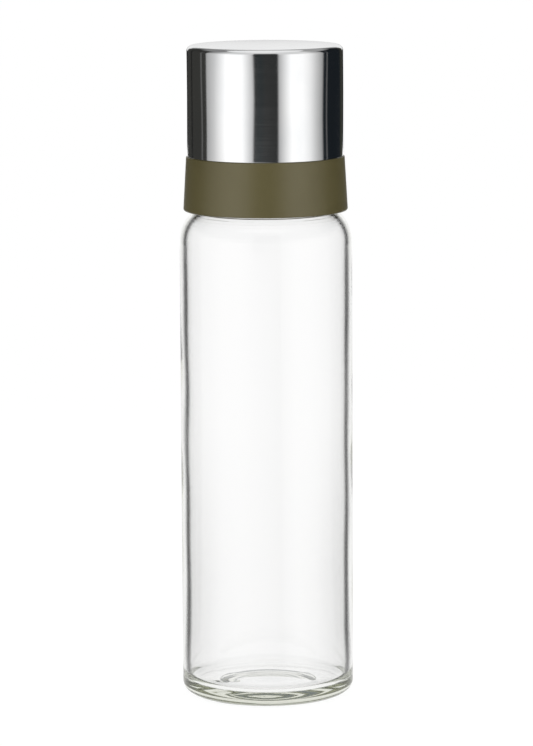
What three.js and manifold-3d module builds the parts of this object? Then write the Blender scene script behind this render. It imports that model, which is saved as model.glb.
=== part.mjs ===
// Oil dispenser: a clear glass bottle with a screw collar, a drip-return pourer and a push-on steel cap.
// Millimetres, +Z up, origin at the centre of the base. Every piece is turned about the Z axis,
// and the spout pours towards -Y.

import * as THREE from "three";
import { mergeVertices } from "three/addons/utils/BufferGeometryUtils.js";
import Module from "manifold-3d";

// Glass bottle
const BODY_RADIUS = 27; // outside of the straight wall
const BODY_HEIGHT = 143.5; // base to the start of the shoulder
const WALL_FOOT = 2.0; // at the inside corner of the base
const WALL_LOW = 2.3; // the blown wall is thickest a little above the base
const WALL_LOW_Z = 22;
const WALL_HIGH = 1.8; // and thinnest at the shoulder
const HEEL_WIDTH = 4.5; // the heel is a flat oval
const HEEL_HEIGHT = 3.9;
const FOOT_RING_WIDTH = 7.5; // the flat ring that the bottle stands on
const PUSH_UP = 2.65; // rise of the hollow under the base
const FLOOR_THICKNESS = 4.4; // of the base, at its inside corner
const FLOOR_CORNER_RADIUS = 3.4;
const FLOOR_CROWN = 0.6; // rise of the inside floor at its centre
const SHOULDER_RADIUS = 15.2;
const NECK_RADIUS = 20.8; // outside, at the root of the thread
const NECK_WALL = 2.4;
const NECK_HEIGHT = 9.5; // straight part of the neck
const NECK_FILLET = 1.5; // outside, from the shoulder into the neck
const BORE_FILLET = 3.5; // inside, from the shoulder into the neck
const LIP_ROUND = 0.9;

// Clearances
const FIT_GAP = 0.3; // round a piece that is pushed or clipped into another
const SEAT_GAP = 0.1; // between flat faces that bear on each other
const CAP_GAP = 0.1; // between the steel rim and the collar

// Neck gasket
const GASKET_THICKNESS = 1.0;
const GASKET_INSET = 0.45; // from the outside of the neck

// Pourer
const FLANGE_THICKNESS = 1.4;
const FLANGE_OVERHANG = 0.7; // past the outside of the neck
const PLUG_DEPTH = 8; // the skirt that reaches down into the neck
const PLUG_WALL = 1.5;
const PLUG_RIB_HEIGHT = 0.4;
const PLUG_RIB_WIDTH = 1.2;
const PLUG_RIB_COUNT = 2;
const PLINTH_INSET = 1.9; // the plinth's outside, from the outside of the neck
const PLINTH_HEIGHT = 9.4; // above the flange
const PLINTH_WALL = 2.6;
const PLINTH_ROUND = 0.8;
const TRAY_DEPTH = 6; // at the plinth's wall
const TRAY_FALL = 1.8; // further down at the spout
const TRAY_THICKNESS = 1.6;
const TRAY_FILLET = 1.4;
const HUB_WALL = 1.8;
const HUB_DEPTH = 5.5; // of the spout's socket, under the tray
const RETURN_SLOT_WIDTH = 3; // lets drips run back and air run in
const RETURN_SLOT_ANGLE = 70; // degrees, from end to end

// Cap grip ring
const RING_SECTION_RADIUS = 1.0;
const RING_STANDOUT = 0.8; // past the plinth
const RING_HEIGHT = 5.4; // centre of its groove, above the flange

// Spout
const SPOUT_RADIUS = 5.7; // outside, in its socket
const SPOUT_WALL = 1.0;
const SPOUT_TAPER = 0.5; // loss of radius up to the flare
const SPOUT_FLANGE_WIDTH = 2.6;
const SPOUT_FLANGE_THICKNESS = 1.0;
const SPOUT_BARB = 0.9; // clip under the socket
const SPOUT_BARB_HEIGHT = 1.6;
const FLARE_HEIGHT = 11;
const FLARE_WIDTH = 3.1; // gain of radius up to the lip
const LIP_EDGE = 0.4; // thickness of the drip-free edge
const MOUTH_DROP = 6; // the mouth slants down to its back by this
const MOUTH_TRIM = 0.3; // taken off the very front of the lip
const SPOUT_HEADROOM = 2.6; // from the lip up to the roof of the cap's liner

// Screw collar
const COLLAR_WALL = 2.45; // at its top, outside the thread
const COLLAR_FLARE = 0.98; // gain of radius down to its lower edge
const COLLAR_FLANGE_THICKNESS = 1.7; // clamps the pourer's flange
const COLLAR_DROP = 3.0; // reach below the straight part of the neck
const COLLAR_ROUND = 0.6;
const COLLAR_TOP_ROUND = 0.3;
const COLLAR_LEAD_IN = 1.6; // height of the cone that clears the shoulder
const SHOULDER_CLEARANCE = 0.5;
const THREAD_ROOM = 1.5; // radial depth of the thread, neck root to collar root

// Steel cap
const CAP_HEIGHT = 34.5; // rim to the edge of the top
const CAP_STEP = 0.4; // the collar's ledge round the cap
const SHELL_WALL = 0.6;
const CAP_ROUND = 2.5; // between the side and the top
const DOME_RISE = 0.4;
const HEM_WIDTH = 1.2; // the rim is turned in under the liner
const HEM_ROUND = 0.4;

// Cap liner
const LINER_WALL = 1.7;
const LINER_ROOF = 1.8;
const GRIP_BAND_HEIGHT = 7.5; // the thick lower band that slides over the ring
const BOSS_WALL = 2.0;
const BOSS_DEPTH = 6; // from the roof down
const STEM_SOCKET_DEPTH = 5.2;

// Spout plug
const PLUG_STEM_RADIUS = 2.6;
const PLUG_NOSE = 1.2; // length of the rounded tip below the flare
const PLUG_NOSE_INSET = 1.0;

// Facets
const SEGMENTS = 40;
const SPOUT_SEGMENTS = 32;
const FILLET_STEPS = 3;
const SMALL_FILLET_STEPS = 2;
const LARGE_FILLET_STEPS = 4;
const SWEEP_STEPS = 6;
const RING_STEPS = 8;
const MERGE_TOLERANCE = 1e-4;

const wasm = await Module();
wasm.setup();

const point = (r, z) => new THREE.Vector2(r, z);

// Points along an arc in the (radius, height) plane, from one angle in degrees to another.
// An oval has its own height.
function arc(r, z, radius, from, to, steps = FILLET_STEPS, height = radius) {
  const [start, end] = [from, to].map(THREE.MathUtils.degToRad);
  return new THREE.EllipseCurve(r, z, radius, height, start, end, to < from).getPoints(steps);
}

// The radius of an arc that starts upright and moves sideways by width over its height.
const flareArcRadius = (height, width) => (height ** 2 + width ** 2) / (2 * width);

// The points of such an arc, from its upright foot, bending outwards.
function flare(r, z, height, width, steps = SWEEP_STEPS) {
  const radius = flareArcRadius(height, width);
  const turn = THREE.MathUtils.radToDeg(Math.asin(height / radius));
  return arc(r + radius, z, radius, 180, 180 - turn, steps);
}

// A low crown on the axis, from its rim up or down to its centre.
function crown(rimRadius, rimZ, rise, steps = FILLET_STEPS) {
  const radius = (rimRadius ** 2 + rise ** 2) / (2 * rise);
  const turn = THREE.MathUtils.radToDeg(Math.asin(rimRadius / radius));
  const points = arc(0, rimZ + rise - radius, radius, 90 - turn, 90, steps);
  points[points.length - 1].x = 0;
  return points;
}

// Turns a counter-clockwise profile of (radius, height) about the Z axis.
function revolve(profile, segments = SEGMENTS) {
  return new THREE.LatheGeometry(profile, segments).rotateX(Math.PI / 2);
}

// Turns a profile that runs round a ring, so it ends where it starts.
const revolveRing = (profile, segments) => revolve([...profile, profile[0].clone()], segments);

// A closed geometry as a solid that can be cut.
function solidOf(geometry) {
  const bare = geometry.clone();
  bare.deleteAttribute("normal");
  bare.deleteAttribute("uv");
  const merged = mergeVertices(bare, MERGE_TOLERANCE);
  return new wasm.Manifold(
    new wasm.Mesh({
      numProp: 3,
      vertProperties: merged.attributes.position.array,
      triVerts: new Uint32Array(merged.index.array),
    }),
  );
}

// The first geometry with the second taken out of it.
function cut(geometry, tool) {
  const mesh = solidOf(geometry).subtract(solidOf(tool)).getMesh();
  const result = new THREE.BufferGeometry();
  result.setAttribute("position", new THREE.BufferAttribute(mesh.vertProperties, mesh.numProp));
  result.setIndex(new THREE.BufferAttribute(mesh.triVerts, 1));
  result.computeVertexNormals();
  return result;
}

// The shoulder runs into the neck through a fillet that is tangent to both.
const SHOULDER_CENTRE = point(BODY_RADIUS - SHOULDER_RADIUS, BODY_HEIGHT);
function neckFillet(shoulderRadius, neckRadius, fillet) {
  const reach = shoulderRadius + fillet;
  const aside = neckRadius + fillet - SHOULDER_CENTRE.x;
  const up = Math.sqrt(reach ** 2 - aside ** 2);
  return {
    centre: point(neckRadius + fillet, SHOULDER_CENTRE.y + up),
    angle: THREE.MathUtils.radToDeg(Math.atan2(up, aside)),
  };
}
function shoulderRadiusAt(z) {
  return SHOULDER_CENTRE.x + Math.sqrt(SHOULDER_RADIUS ** 2 - (z - SHOULDER_CENTRE.y) ** 2);
}

// Heights and radii that follow from the driving dimensions, from the neck up
const OUTER_FILLET = neckFillet(SHOULDER_RADIUS, NECK_RADIUS, NECK_FILLET);
const NECK_FOOT_Z = OUTER_FILLET.centre.y;
const LIP_Z = NECK_FOOT_Z + NECK_HEIGHT;
const BORE_RADIUS = NECK_RADIUS - NECK_WALL;
const GASKET_Z = LIP_Z + SEAT_GAP;
const FLANGE_Z = GASKET_Z + GASKET_THICKNESS + SEAT_GAP;
const FLANGE_TOP_Z = FLANGE_Z + FLANGE_THICKNESS;
const FLANGE_RADIUS = NECK_RADIUS + FLANGE_OVERHANG;
const PLUG_RADIUS = BORE_RADIUS - FIT_GAP - PLUG_RIB_HEIGHT;
const PLINTH_RADIUS = NECK_RADIUS - PLINTH_INSET;
const PLINTH_TOP_Z = FLANGE_TOP_Z + PLINTH_HEIGHT;
const TRAY_RIM_Z = PLINTH_TOP_Z - TRAY_DEPTH;
const TRAY_FOOT_Z = TRAY_RIM_Z - TRAY_FALL;
const SOCKET_RADIUS = SPOUT_RADIUS + FIT_GAP;
const HUB_RADIUS = SOCKET_RADIUS + HUB_WALL;
const HUB_BOTTOM_Z = TRAY_FOOT_Z - HUB_DEPTH;
const SPOUT_FLANGE_RADIUS = SPOUT_RADIUS + SPOUT_FLANGE_WIDTH;
const SPOUT_SEAT_RADIUS = SPOUT_FLANGE_RADIUS + FIT_GAP;
const RING_Z = FLANGE_TOP_Z + RING_HEIGHT;
const RING_CENTRE_RADIUS = PLINTH_RADIUS + RING_STANDOUT - RING_SECTION_RADIUS;
const RING_OUTER_RADIUS = PLINTH_RADIUS + RING_STANDOUT;
const COLLAR_FLANGE_Z = FLANGE_TOP_Z + SEAT_GAP;
const COLLAR_TOP_Z = COLLAR_FLANGE_Z + COLLAR_FLANGE_THICKNESS;
const COLLAR_BOTTOM_Z = NECK_FOOT_Z - COLLAR_DROP;
const COLLAR_BORE_RADIUS = NECK_RADIUS + THREAD_ROOM;
const COLLAR_TOP_RADIUS = COLLAR_BORE_RADIUS + COLLAR_WALL;
const COLLAR_BOTTOM_RADIUS = COLLAR_TOP_RADIUS + COLLAR_FLARE;
const CAP_RADIUS = COLLAR_TOP_RADIUS - CAP_STEP;
const CAP_RIM_Z = COLLAR_TOP_Z + CAP_GAP;
const CAP_TOP_Z = CAP_RIM_Z + CAP_HEIGHT;
const LINER_RADIUS = CAP_RADIUS - SHELL_WALL - FIT_GAP;
const LINER_BOTTOM_Z = CAP_RIM_Z + SHELL_WALL + SEAT_GAP;
const LINER_TOP_Z = CAP_TOP_Z - SHELL_WALL - FIT_GAP;
const LINER_ROOF_Z = LINER_TOP_Z - LINER_ROOF;
const SPOUT_TOP_Z = LINER_ROOF_Z - SPOUT_HEADROOM;
const FLARE_Z = SPOUT_TOP_Z - FLARE_HEIGHT;
const SPOUT_BORE_RADIUS = SPOUT_RADIUS - SPOUT_WALL;
const WAIST_RADIUS = SPOUT_RADIUS - SPOUT_TAPER;
const WAIST_BORE_RADIUS = SPOUT_BORE_RADIUS - SPOUT_TAPER;
const SPOUT_LIP_RADIUS = WAIST_RADIUS + FLARE_WIDTH;
const BORE_FLARE_WIDTH = SPOUT_LIP_RADIUS - LIP_EDGE - WAIST_BORE_RADIUS;
const BOSS_BOTTOM_Z = LINER_ROOF_Z - BOSS_DEPTH;
const STEM_SOCKET_RADIUS = PLUG_STEM_RADIUS + FIT_GAP;

function bottle() {
  const heelCentre = BODY_RADIUS - HEEL_WIDTH;
  const footInner = heelCentre - FOOT_RING_WIDTH;
  const innerShoulder = SHOULDER_RADIUS - WALL_HIGH;
  const inner = neckFillet(innerShoulder, BORE_RADIUS, BORE_FILLET);
  const cornerZ = FLOOR_THICKNESS + FLOOR_CORNER_RADIUS;
  const cornerCentre = BODY_RADIUS - WALL_FOOT - FLOOR_CORNER_RADIUS;
  const neckTurn = 180 + OUTER_FILLET.angle;
  return revolve([
    ...crown(footInner, 0, PUSH_UP).reverse(),
    ...arc(heelCentre, HEEL_HEIGHT, HEEL_WIDTH, -90, 0, LARGE_FILLET_STEPS, HEEL_HEIGHT),
    ...arc(SHOULDER_CENTRE.x, SHOULDER_CENTRE.y, SHOULDER_RADIUS, 0, OUTER_FILLET.angle, SWEEP_STEPS),
    ...arc(NECK_RADIUS + NECK_FILLET, NECK_FOOT_Z, NECK_FILLET, neckTurn, 180, SMALL_FILLET_STEPS).slice(1),
    ...arc(NECK_RADIUS - LIP_ROUND, LIP_Z - LIP_ROUND, LIP_ROUND, 0, 90),
    ...arc(BORE_RADIUS + LIP_ROUND, LIP_Z - LIP_ROUND, LIP_ROUND, 90, 180),
    ...arc(inner.centre.x, inner.centre.y, BORE_FILLET, 180, 180 + inner.angle),
    ...arc(SHOULDER_CENTRE.x, SHOULDER_CENTRE.y, innerShoulder, inner.angle, 0, SWEEP_STEPS).slice(1),
    point(BODY_RADIUS - WALL_LOW, WALL_LOW_Z),
    ...arc(cornerCentre, cornerZ, FLOOR_CORNER_RADIUS, 0, -90, LARGE_FILLET_STEPS),
    ...crown(cornerCentre, FLOOR_THICKNESS, FLOOR_CROWN).slice(1),
  ]);
}

function neckGasket() {
  const inner = PLUG_RADIUS + PLUG_RIB_HEIGHT;
  const outer = NECK_RADIUS - GASKET_INSET;
  return revolveRing([
    point(outer, GASKET_Z),
    point(outer, GASKET_Z + GASKET_THICKNESS),
    point(inner, GASKET_Z + GASKET_THICKNESS),
    point(inner, GASKET_Z),
  ]);
}

// Half-round ribs down the outside of the plug, which wipe the inside of the neck.
function plugRibs(bottomZ) {
  const pitch = PLUG_DEPTH / (PLUG_RIB_COUNT + 1);
  const ribs = [];
  for (let i = 1; i <= PLUG_RIB_COUNT; i++) {
    const z = bottomZ + i * pitch;
    ribs.push(point(PLUG_RADIUS, z - PLUG_RIB_WIDTH / 2));
    ribs.push(point(PLUG_RADIUS + PLUG_RIB_HEIGHT, z));
    ribs.push(point(PLUG_RADIUS, z + PLUG_RIB_WIDTH / 2));
  }
  return ribs;
}

// A curved slot with round ends through the tray, behind the spout.
function returnSlot() {
  const half = THREE.MathUtils.degToRad(RETURN_SLOT_ANGLE / 2);
  const middle = Math.PI / 2;
  const radius = RETURN_SLOT_WIDTH / 2;
  const reach = SPOUT_SEAT_RADIUS + FIT_GAP + radius;
  const end = (angle) => [reach * Math.cos(angle), reach * Math.sin(angle)];
  const outline = new THREE.Shape();
  outline.absarc(0, 0, reach + radius, middle - half, middle + half, false);
  outline.absarc(...end(middle + half), radius, middle + half, middle + half + Math.PI, false);
  outline.absarc(0, 0, reach - radius, middle + half, middle - half, true);
  outline.absarc(...end(middle - half), radius, middle - half + Math.PI, middle - half + 2 * Math.PI, false);
  const depth = PLINTH_TOP_Z - HUB_BOTTOM_Z;
  const slot = new THREE.ExtrudeGeometry(outline, { depth, bevelEnabled: false, curveSegments: SWEEP_STEPS });
  return slot.translate(0, 0, HUB_BOTTOM_Z);
}

function pourerBody() {
  const plugBottomZ = FLANGE_Z - PLUG_DEPTH;
  const plugBore = PLUG_RADIUS - PLUG_WALL;
  const plinthBore = PLINTH_RADIUS - PLINTH_WALL;
  const grooveFoot = RING_CENTRE_RADIUS - RING_SECTION_RADIUS - SEAT_GAP;
  const grooveHalf = RING_SECTION_RADIUS + SEAT_GAP;
  const body = revolveRing([
    point(plugBore, plugBottomZ),
    point(PLUG_RADIUS - PLUG_RIB_HEIGHT, plugBottomZ),
    ...plugRibs(plugBottomZ),
    point(PLUG_RADIUS, FLANGE_Z),
    point(FLANGE_RADIUS, FLANGE_Z),
    point(FLANGE_RADIUS, FLANGE_TOP_Z),
    point(PLINTH_RADIUS, FLANGE_TOP_Z),
    point(PLINTH_RADIUS, RING_Z - grooveHalf),
    point(grooveFoot, RING_Z - grooveHalf),
    point(grooveFoot, RING_Z + grooveHalf),
    point(PLINTH_RADIUS, RING_Z + grooveHalf),
    ...arc(PLINTH_RADIUS - PLINTH_ROUND, PLINTH_TOP_Z - PLINTH_ROUND, PLINTH_ROUND, 0, 90),
    ...arc(plinthBore + PLINTH_ROUND, PLINTH_TOP_Z - PLINTH_ROUND, PLINTH_ROUND, 90, 180),
    ...arc(plinthBore - TRAY_FILLET, TRAY_RIM_Z + TRAY_FILLET, TRAY_FILLET, 0, -90),
    point(SPOUT_SEAT_RADIUS, TRAY_FOOT_Z),
    point(SOCKET_RADIUS, TRAY_FOOT_Z),
    point(SOCKET_RADIUS, HUB_BOTTOM_Z),
    point(HUB_RADIUS, HUB_BOTTOM_Z),
    point(HUB_RADIUS, TRAY_FOOT_Z - TRAY_THICKNESS),
    point(plugBore, TRAY_RIM_Z - TRAY_THICKNESS),
  ]);
  return cut(body, returnSlot());
}

function capGripRing() {
  const section = arc(RING_CENTRE_RADIUS, RING_Z, RING_SECTION_RADIUS, 0, 360, RING_STEPS);
  return revolveRing(section.slice(0, -1));
}

// The half-space above the slanted mouth, as a block that is wider than the lip.
function mouthCutter() {
  const span = 2 * SPOUT_LIP_RADIUS;
  const size = 2 * span;
  const block = new THREE.BoxGeometry(size, size, size).translate(0, 0, size / 2);
  block.rotateX(-Math.atan2(MOUTH_DROP, span));
  return block.translate(0, 0, SPOUT_TOP_Z - MOUTH_TRIM - MOUTH_DROP / 2);
}

function pourSpout() {
  const seatZ = TRAY_FOOT_Z + SEAT_GAP;
  const flangeTopZ = seatZ + SPOUT_FLANGE_THICKNESS;
  const barbTopZ = HUB_BOTTOM_Z - SEAT_GAP;
  const barbBottomZ = barbTopZ - SPOUT_BARB_HEIGHT;
  const tube = revolveRing(
    [
      point(SPOUT_BORE_RADIUS, barbBottomZ),
      point(SPOUT_RADIUS, barbBottomZ),
      point(SPOUT_RADIUS + SPOUT_BARB, barbTopZ),
      point(SPOUT_RADIUS, barbTopZ),
      point(SPOUT_RADIUS, seatZ),
      point(SPOUT_FLANGE_RADIUS, seatZ),
      point(SPOUT_FLANGE_RADIUS, flangeTopZ),
      ...arc(SPOUT_FLANGE_RADIUS, flangeTopZ + SPOUT_FLANGE_WIDTH, SPOUT_FLANGE_WIDTH, 270, 180),
      ...flare(WAIST_RADIUS, FLARE_Z, FLARE_HEIGHT, FLARE_WIDTH),
      ...flare(WAIST_BORE_RADIUS, FLARE_Z, FLARE_HEIGHT, BORE_FLARE_WIDTH).reverse(),
    ],
    SPOUT_SEGMENTS,
  );
  return cut(tube, mouthCutter());
}

function collar() {
  const openRadius = PLINTH_RADIUS + FIT_GAP;
  const mouthRadius = shoulderRadiusAt(COLLAR_BOTTOM_Z) + SHOULDER_CLEARANCE;
  return revolveRing([
    ...arc(COLLAR_BOTTOM_RADIUS - COLLAR_ROUND, COLLAR_BOTTOM_Z + COLLAR_ROUND, COLLAR_ROUND, -90, 0),
    ...arc(COLLAR_TOP_RADIUS - COLLAR_TOP_ROUND, COLLAR_TOP_Z - COLLAR_TOP_ROUND, COLLAR_TOP_ROUND, 0, 90),
    point(openRadius, COLLAR_TOP_Z),
    point(openRadius, COLLAR_FLANGE_Z),
    point(COLLAR_BORE_RADIUS, COLLAR_FLANGE_Z),
    point(COLLAR_BORE_RADIUS, COLLAR_BOTTOM_Z + COLLAR_LEAD_IN),
    point(mouthRadius, COLLAR_BOTTOM_Z),
  ]);
}

function capShell() {
  const inner = CAP_RADIUS - SHELL_WALL;
  const roofZ = CAP_TOP_Z - SHELL_WALL;
  const innerRound = CAP_ROUND - SHELL_WALL;
  const flat = CAP_RADIUS - CAP_ROUND;
  return revolve([
    ...crown(flat, roofZ, DOME_RISE).reverse(),
    ...arc(flat, roofZ - innerRound, innerRound, 90, 0).slice(1),
    point(inner, CAP_RIM_Z + SHELL_WALL),
    point(CAP_RADIUS - HEM_WIDTH, CAP_RIM_Z + SHELL_WALL),
    point(CAP_RADIUS - HEM_WIDTH, CAP_RIM_Z),
    ...arc(CAP_RADIUS - HEM_ROUND, CAP_RIM_Z + HEM_ROUND, HEM_ROUND, -90, 0),
    ...arc(flat, CAP_TOP_Z - CAP_ROUND, CAP_ROUND, 0, 90, LARGE_FILLET_STEPS),
    ...crown(flat, CAP_TOP_Z, DOME_RISE).slice(1),
  ]);
}

function capLiner() {
  const bandRadius = RING_OUTER_RADIUS + FIT_GAP;
  const skirtRadius = LINER_RADIUS - LINER_WALL;
  const bandTopZ = LINER_BOTTOM_Z + GRIP_BAND_HEIGHT;
  const bossRadius = STEM_SOCKET_RADIUS + BOSS_WALL;
  const round = CAP_ROUND - SHELL_WALL - FIT_GAP;
  return revolve([
    point(0, BOSS_BOTTOM_Z + STEM_SOCKET_DEPTH),
    point(STEM_SOCKET_RADIUS, BOSS_BOTTOM_Z + STEM_SOCKET_DEPTH),
    point(STEM_SOCKET_RADIUS, BOSS_BOTTOM_Z),
    point(bossRadius, BOSS_BOTTOM_Z),
    point(bossRadius, LINER_ROOF_Z),
    point(skirtRadius, LINER_ROOF_Z),
    point(skirtRadius, bandTopZ + (skirtRadius - bandRadius)),
    point(bandRadius, bandTopZ),
    point(bandRadius, LINER_BOTTOM_Z),
    point(LINER_RADIUS, LINER_BOTTOM_Z),
    ...arc(LINER_RADIUS - round, LINER_TOP_Z - round, round, 0, 90, LARGE_FILLET_STEPS),
    point(0, LINER_TOP_Z),
  ]);
}

// The plug fills the flared mouth of the spout, and its stem is pressed into the liner's boss.
function spoutPlug() {
  const topZ = BOSS_BOTTOM_Z - SEAT_GAP;
  const waist = WAIST_BORE_RADIUS - FIT_GAP;
  const boreArc = flareArcRadius(FLARE_HEIGHT, BORE_FLARE_WIDTH);
  const plugArc = boreArc + FIT_GAP;
  const turn = THREE.MathUtils.radToDeg(Math.asin((topZ - FLARE_Z) / plugArc));
  const stemTopZ = BOSS_BOTTOM_Z + STEM_SOCKET_DEPTH - SEAT_GAP;
  return revolve(
    [
      point(0, FLARE_Z - PLUG_NOSE),
      point(waist - PLUG_NOSE_INSET, FLARE_Z - PLUG_NOSE),
      ...arc(WAIST_BORE_RADIUS + boreArc, FLARE_Z, plugArc, 180, 180 - turn, LARGE_FILLET_STEPS),
      point(PLUG_STEM_RADIUS, topZ),
      point(PLUG_STEM_RADIUS, stemTopZ),
      point(0, stemTopZ),
    ],
    SPOUT_SEGMENTS,
  );
}

const GLASS = { color: 0xe9efec, roughness: 0.03, metalness: 0, transparent: true, opacity: 0.3 };
const OLIVE_PLASTIC = { color: 0x675f43, roughness: 0.55, metalness: 0 };
const STEEL = { color: 0xc9cacb, roughness: 0.1, metalness: 1 };
const NATURAL_PLASTIC = { color: 0xe8e6de, roughness: 0.4, metalness: 0 };
const SILICONE = { color: 0xd9dad6, roughness: 0.6, metalness: 0 };

function piece(name, geometry, finish) {
  const mesh = new THREE.Mesh(geometry, new THREE.MeshStandardMaterial(finish));
  mesh.name = name;
  return mesh;
}

const dispenser = new THREE.Group();

const pourer = new THREE.Group();
pourer.add(
  piece("pourer_body", pourerBody(), NATURAL_PLASTIC),
  piece("pour_spout", pourSpout(), NATURAL_PLASTIC),
  piece("neck_gasket", neckGasket(), SILICONE),
  piece("cap_grip_ring", capGripRing(), SILICONE),
);

const cap = new THREE.Group();
cap.add(
  piece("cap_shell", capShell(), STEEL),
  piece("cap_liner", capLiner(), OLIVE_PLASTIC),
  piece("spout_plug", spoutPlug(), SILICONE),
);

dispenser.add(piece("bottle", bottle(), GLASS), piece("collar", collar(), OLIVE_PLASTIC), pourer, cap);

export default dispenser;
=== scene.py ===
"""Oil dispenser: clear glass bottle, olive screw collar, drip-return pourer and polished steel cap."""

import math

import bpy
from mathutils import Matrix, Vector


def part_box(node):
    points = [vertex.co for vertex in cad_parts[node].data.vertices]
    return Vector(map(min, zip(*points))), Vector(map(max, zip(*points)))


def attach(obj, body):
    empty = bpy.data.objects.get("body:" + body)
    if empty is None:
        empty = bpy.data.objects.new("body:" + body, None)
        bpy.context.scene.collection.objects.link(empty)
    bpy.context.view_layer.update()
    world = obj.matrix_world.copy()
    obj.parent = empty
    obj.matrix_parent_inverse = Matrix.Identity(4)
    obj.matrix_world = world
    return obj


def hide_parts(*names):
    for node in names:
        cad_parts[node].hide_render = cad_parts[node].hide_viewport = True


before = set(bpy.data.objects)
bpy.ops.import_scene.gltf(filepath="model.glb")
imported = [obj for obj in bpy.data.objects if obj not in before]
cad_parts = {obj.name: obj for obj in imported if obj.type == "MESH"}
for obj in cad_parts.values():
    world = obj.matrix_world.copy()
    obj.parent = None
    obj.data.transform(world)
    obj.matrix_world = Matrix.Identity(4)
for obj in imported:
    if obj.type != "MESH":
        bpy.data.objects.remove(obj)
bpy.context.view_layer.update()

# Lengths of the object are in millimetres. Those of the studio and of meshes are in metres.
MM = 0.001


def span(node):
    """Outer radius, lowest height and highest height of a CAD node, in millimetres."""
    low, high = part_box(node)
    return high.x / MM, low.z / MM, high.z / MM


# Sizes from the frame
BODY_RADIUS, _, LIP_Z = span("bottle")
COLLAR_BOTTOM_RADIUS, COLLAR_BOTTOM_Z, COLLAR_TOP_Z = span("collar")
CAP_RADIUS, CAP_RIM_Z, CAP_CROWN_Z = span("cap_shell")
LINER_RADIUS, LINER_BOTTOM_Z, LINER_TOP_Z = span("cap_liner")
FLANGE_RADIUS, PLUG_BOTTOM_Z, PLINTH_TOP_Z = span("pourer_body")
GASKET_RADIUS, GASKET_Z, GASKET_TOP_Z = span("neck_gasket")
RING_OUTER_RADIUS, RING_BOTTOM_Z, RING_TOP_Z = span("cap_grip_ring")
_, SPOUT_BOTTOM_Z, _ = span("pour_spout")
_, STOPPER_BOTTOM_Z, STOPPER_TOP_Z = span("spout_plug")

# Gaps and edges that several pieces share
FIT_GAP = 0.3
SEAT_GAP = 0.1
EDGE_ROUND = 0.25

# Glass bottle
BODY_HEIGHT = 143.5
WALL_FOOT = 2.0
WALL_LOW = 2.3
WALL_HIGH = 1.8
WALL_THINNING = 8.0
WALL_STEP = 3.0
HEEL_WIDTH = 4.5
HEEL_HEIGHT = 3.9
FOOT_RING_WIDTH = 7.5
PUSH_UP = 2.65
FLOOR_THICKNESS = 4.4
FLOOR_CORNER_RADIUS = 3.4
FLOOR_CROWN = 0.6
SHOULDER_RADIUS = 12.4
NECK_RADIUS = 20.8
NECK_WALL = 2.4
NECK_FILLET = 1.5
BORE_FILLET = 3.5
LIP_ROUND = 0.9

# Marks on the glass that its material reads. The second one fades in over this length below the shoulder.
# The inner wall's mark bounds where painted shade is mixed into the glass
LINING = "inner_wall"
OUTER_SHOULDER = "outer_shoulder"
SHOULDER_BLEND = 25.0

# Unevenness of the blown glass: knurls on its foot ring, a dimple under its base and slow waves
KNURL_COUNT = 31
KNURL_DEPTH = 0.02
KNURL_STEP = 0.5
DIMPLE_PLACE = Vector((-11.5, -8.5))
DIMPLE_REACH = 3.8
DIMPLE_DEPTH = 0.9

# Waves of the wall: size, lobes round the axis, turn for each millimetre of height, and phase
WALL_WAVES = [(0.04, 2, 0.11, 0.4), (0.03, 3, 0.19, 2.0)]

# Waves of the floor: size, turn for each millimetre across and along, and phase
FLOOR_WAVES = [(0.06, 0.31, 0.12, 0.7), (0.05, -0.17, 0.27, 2.1)]

# Screw thread between the neck and the collar
THREAD_PITCH = 4.0
THREAD_TURNS = 1.25
THREAD_START_Z = 157.7
THREAD_HALF_WIDTH = 0.9
NECK_THREAD_HEIGHT = 0.9
COLLAR_THREAD_HEIGHT = 0.95
THREAD_RUN_OUT = 0.12
THREAD_SHARPNESS = 1.5
THREAD_STEP = 0.25

# Screw collar
COLLAR_FLARE = 0.98
COLLAR_TOP_RADIUS = COLLAR_BOTTOM_RADIUS - COLLAR_FLARE
COLLAR_BORE_RADIUS = 22.3
COLLAR_FLANGE_THICKNESS = 1.7
COLLAR_ROUND = 0.6
COLLAR_TOP_ROUND = 0.3
COLLAR_LEAD_IN = 1.6
SHOULDER_CLEARANCE = 0.5

# Pourer
PLINTH_RADIUS = 18.9
PLINTH_WALL = 2.6
PLINTH_ROUND = 0.8
FLANGE_THICKNESS = 1.4
PLUG_DEPTH = 8.0
PLUG_RADIUS = 17.7
PLUG_WALL = 1.5
PLUG_RIB_HEIGHT = 0.4
PLUG_RIB_WIDTH = 1.2
PLUG_RIB_COUNT = 2
TRAY_DEPTH = 6.0
TRAY_FALL = 1.8
TRAY_THICKNESS = 1.6
TRAY_FILLET = 1.4
HUB_WALL = 1.8
HUB_DEPTH = 5.5
RETURN_SLOT_WIDTH = 3.0
RETURN_SLOT_ANGLE = 70.0
RING_SECTION_RADIUS = (RING_TOP_Z - RING_BOTTOM_Z) / 2
RING_CENTRE_RADIUS = RING_OUTER_RADIUS - RING_SECTION_RADIUS
RING_Z = (RING_TOP_Z + RING_BOTTOM_Z) / 2

# Spout
SPOUT_RADIUS = 5.7
SPOUT_WALL = 1.0
SPOUT_TAPER = 0.5
SPOUT_FLANGE_WIDTH = 2.6
SPOUT_FLANGE_THICKNESS = 1.0
SPOUT_FLANGE_FILLET = 0.8 * SPOUT_FLANGE_WIDTH
SPOUT_BARB = 0.9
SPOUT_BARB_HEIGHT = 1.6
FLARE_HEIGHT = 11.0
FLARE_WIDTH = 3.1
LIP_EDGE = 0.4
MOUTH_DROP = 6.0
MOUTH_TRIM = 0.3

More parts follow.
